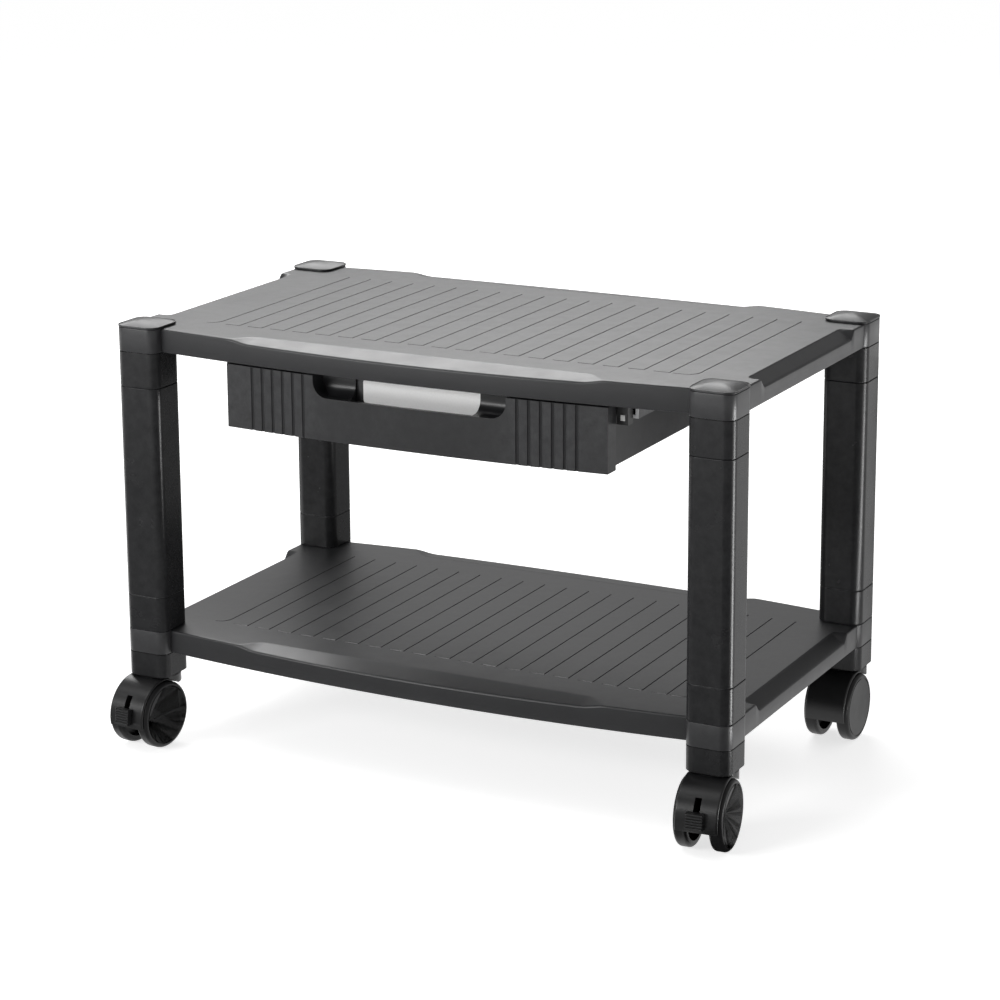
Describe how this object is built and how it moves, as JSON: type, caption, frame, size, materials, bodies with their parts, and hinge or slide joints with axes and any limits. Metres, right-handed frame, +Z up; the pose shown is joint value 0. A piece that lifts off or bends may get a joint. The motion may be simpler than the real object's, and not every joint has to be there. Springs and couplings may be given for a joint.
{
  "type": "mobile printer stand",
  "caption": "Low wheeled stand with an upper platform for a desktop printer, an open lower shelf and a shallow pull-out drawer.",
  "frame": {"origin": "on the floor, at the centre of the stand's overall footprint, casters included", "axes": "+X to the right along the drawer front, -Y towards the side the drawer opens to, +Z up"},
  "size_m": [0.4344, 0.2746, 0.283],
  "materials": {
    "shelf": "charcoal moulded plastic, satin",
    "leg": "charcoal moulded plastic, satin",
    "cap": "charcoal moulded plastic, satin",
    "drawer": "charcoal moulded plastic, satin",
    "hood": "black nylon, satin",
    "wheel": "black nylon, fine grain",
    "steel": "zinc plated steel",
    "rail": "black painted folded steel, bare at the cut ends",
    "glide": "black nylon with a light grey pad on the front",
    "card": "off-white card"
  },
  "bodies": {
    "frame": {"top_shelf": "shelf", "bottom_shelf": "shelf", "cap_fl": "cap", "upper_collar_fl": "leg", "leg_tube_fl": "leg", "lower_collar_fl": "leg", "foot_fl": "leg", "stem_fl": "steel", "cap_fr": "cap", "upper_collar_fr": "leg", "leg_tube_fr": "leg", "lower_collar_fr": "leg", "foot_fr": "leg", "stem_fr": "steel", "cap_bl": "cap", "upper_collar_bl": "leg", "leg_tube_bl": "leg", "lower_collar_bl": "leg", "foot_bl": "leg", "stem_bl": "steel", "cap_br": "cap", "upper_collar_br": "leg", "leg_tube_br": "leg", "lower_collar_br": "leg", "foot_br": "leg", "stem_br": "steel", "rail_left": "rail", "rail_right": "rail", "rail_screws": "steel"},
    "drawer": {"drawer_box": "drawer", "drawer_front": "drawer", "label_card": "card", "front_screws": "steel", "glide_left": "glide", "glide_right": "glide"},
    "caster_fl": {"hood_fl": "hood", "axle_fl": "steel"},
    "wheel_fl_l": {"wheel_fl_l": "wheel"},
    "wheel_fl_r": {"wheel_fl_r": "wheel"},
    "brake_fl": {"brake_fl": "hood"},
    "caster_fr": {"hood_fr": "hood", "axle_fr": "steel"},
    "wheel_fr_l": {"wheel_fr_l": "wheel"},
    "wheel_fr_r": {"wheel_fr_r": "wheel"},
    "brake_fr": {"brake_fr": "hood"},
    "caster_bl": {"hood_bl": "hood", "axle_bl": "steel"},
    "wheel_bl_l": {"wheel_bl_l": "wheel"},
    "wheel_bl_r": {"wheel_bl_r": "wheel"},
    "caster_br": {"hood_br": "hood", "axle_br": "steel"},
    "wheel_br_l": {"wheel_br_l": "wheel"},
    "wheel_br_r": {"wheel_br_r": "wheel"}
  },
  "joints": [
    {"name": "drawer_slide", "type": "slide", "parent": "frame", "child": "drawer", "axis": [0, -1, 0], "range_m": [0, 0.15]},
    {"name": "swivel_fl", "type": "hinge", "parent": "frame", "child": "caster_fl", "pos_m": [-0.199, -0.0962, 0.03], "axis": [0, 0, 1], "continuous": true},
    {"name": "spin_fl_l", "type": "hinge", "parent": "caster_fl", "child": "wheel_fl_l", "pos_m": [-0.20005, -0.10815, 0.022], "axis": [0.9962, -0.0872, 0], "continuous": true},
    {"name": "spin_fl_r", "type": "hinge", "parent": "caster_fl", "child": "wheel_fl_r", "pos_m": [-0.20005, -0.10815, 0.022], "axis": [0.9962, -0.0872, 0], "continuous": true},
    {"name": "brake_fl_lift", "type": "hinge", "parent": "caster_fl", "child": "brake_fl", "pos_m": [-0.20005, -0.10815, 0.022], "axis": [-0.9962, 0.0872, 0], "range_deg": [0, 22]},
    {"name": "swivel_fr", "type": "hinge", "parent": "frame", "child": "caster_fr", "pos_m": [0.199, -0.0962, 0.03], "axis": [0, 0, 1], "continuous": true},
    {"name": "spin_fr_l", "type": "hinge", "parent": "caster_fr", "child": "wheel_fr_l", "pos_m": [0.20005, -0.10815, 0.022], "axis": [0.9962, 0.0872, 0], "continuous": true},
    {"name": "spin_fr_r", "type": "hinge", "parent": "caster_fr", "child": "wheel_fr_r", "pos_m": [0.20005, -0.10815, 0.022], "axis": [0.9962, 0.0872, 0], "continuous": true},
    {"name": "brake_fr_lift", "type": "hinge", "parent": "caster_fr", "child": "brake_fr", "pos_m": [0.20005, -0.10815, 0.022], "axis": [-0.9962, -0.0872, 0], "range_deg": [0, 22]},
    {"name": "swivel_bl", "type": "hinge", "parent": "frame", "child": "caster_bl", "pos_m": [-0.199, 0.1188, 0.03], "axis": [0, 0, 1], "continuous": true},
    {"name": "spin_bl_l", "type": "hinge", "parent": "caster_bl", "child": "wheel_bl_l", "pos_m": [-0.199, 0.1068, 0.022], "axis": [1, 0, 0], "continuous": true},
    {"name": "spin_bl_r", "type": "hinge", "parent": "caster_bl", "child": "wheel_bl_r", "pos_m": [-0.199, 0.1068, 0.022], "axis": [1, 0, 0], "continuous": true},
    {"name": "swivel_br", "type": "hinge", "parent": "frame", "child": "caster_br", "pos_m": [0.199, 0.1188, 0.03], "axis": [0, 0, 1], "continuous": true},
    {"name": "spin_br_l", "type": "hinge", "parent": "caster_br", "child": "wheel_br_l", "pos_m": [0.199, 0.1068, 0.022], "axis": [1, 0, 0], "continuous": true},
    {"name": "spin_br_r", "type": "hinge", "parent": "caster_br", "child": "wheel_br_r", "pos_m": [0.199, 0.1068, 0.022], "axis": [1, 0, 0], "continuous": true}
  ]
}
